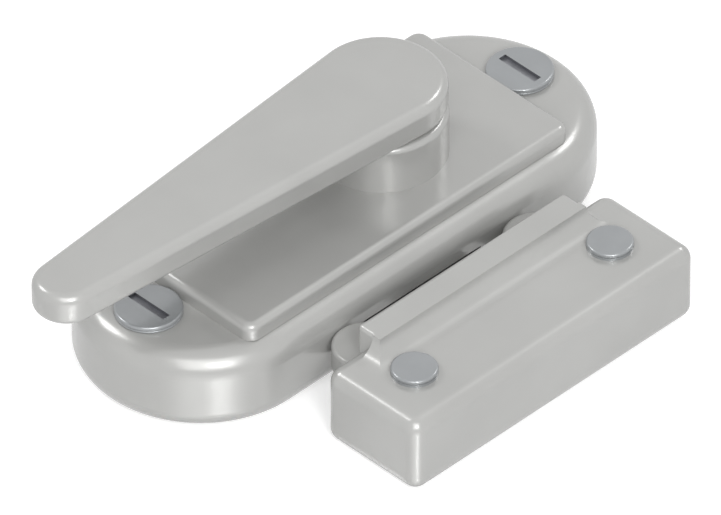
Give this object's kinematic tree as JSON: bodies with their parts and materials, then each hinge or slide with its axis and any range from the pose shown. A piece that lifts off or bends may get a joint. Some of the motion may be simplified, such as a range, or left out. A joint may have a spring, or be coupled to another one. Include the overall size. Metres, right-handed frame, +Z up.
{
  "type": "crescent sash lock",
  "caption": "Sash window lock: a lever turns a crescent cam out of its housing and under the lip of a keeper on the other sash.",
  "frame": {"origin": "centre of the housing's underside, on the face that lies on the sash", "axes": "+X along the housing, from the lever's tip towards its hub; +Y from the keeper towards the lock; +Z up, away from the sash"},
  "size_m": [0.073, 0.0444, 0.0205],
  "materials": {
    "case_metal": "satin silver-grey on die-cast zinc",
    "cover_metal": "satin silver-grey on die-cast zinc",
    "boss_metal": "satin silver-grey on die-cast zinc",
    "lever_metal": "satin silver-grey on die-cast zinc",
    "keeper_metal": "satin silver-grey on die-cast zinc",
    "cam_metal": "bare die-cast zinc",
    "screw_steel": "zinc-plated steel",
    "plain_steel": "rolled steel",
    "spring_steel": "tempered spring steel",
    "bronze": "sintered bronze",
    "acetal": "natural acetal"
  },
  "bodies": {
    "lock_case": {"housing": "case_metal", "base_plate": "plain_steel", "base_screws": "plain_steel", "cover_plate": "cover_metal", "pivot_boss": "boss_metal", "long_bush": "bronze", "foot_bush": "bronze", "stop_pins": "plain_steel", "detent_spring": "spring_steel", "spring_rivets": "plain_steel", "lock_screws": "screw_steel", "lock_washers": "screw_steel", "thrust_washer": "acetal", "keeper": "keeper_metal", "keeper_pins": "screw_steel", "keeper_washers": "screw_steel"},
    "lever": {"lever_handle": "lever_metal", "slip_washer": "acetal", "spindle": "plain_steel", "crescent_cam": "cam_metal", "wave_washer": "spring_steel", "retaining_clip": "spring_steel"}
  },
  "joints": [
    {"name": "lever_turn", "type": "hinge", "parent": "lock_case", "child": "lever", "pos_m": [0.0064, 0, 0], "axis": [0, 0, 1], "range_deg": [-90, 0]}
  ]
}
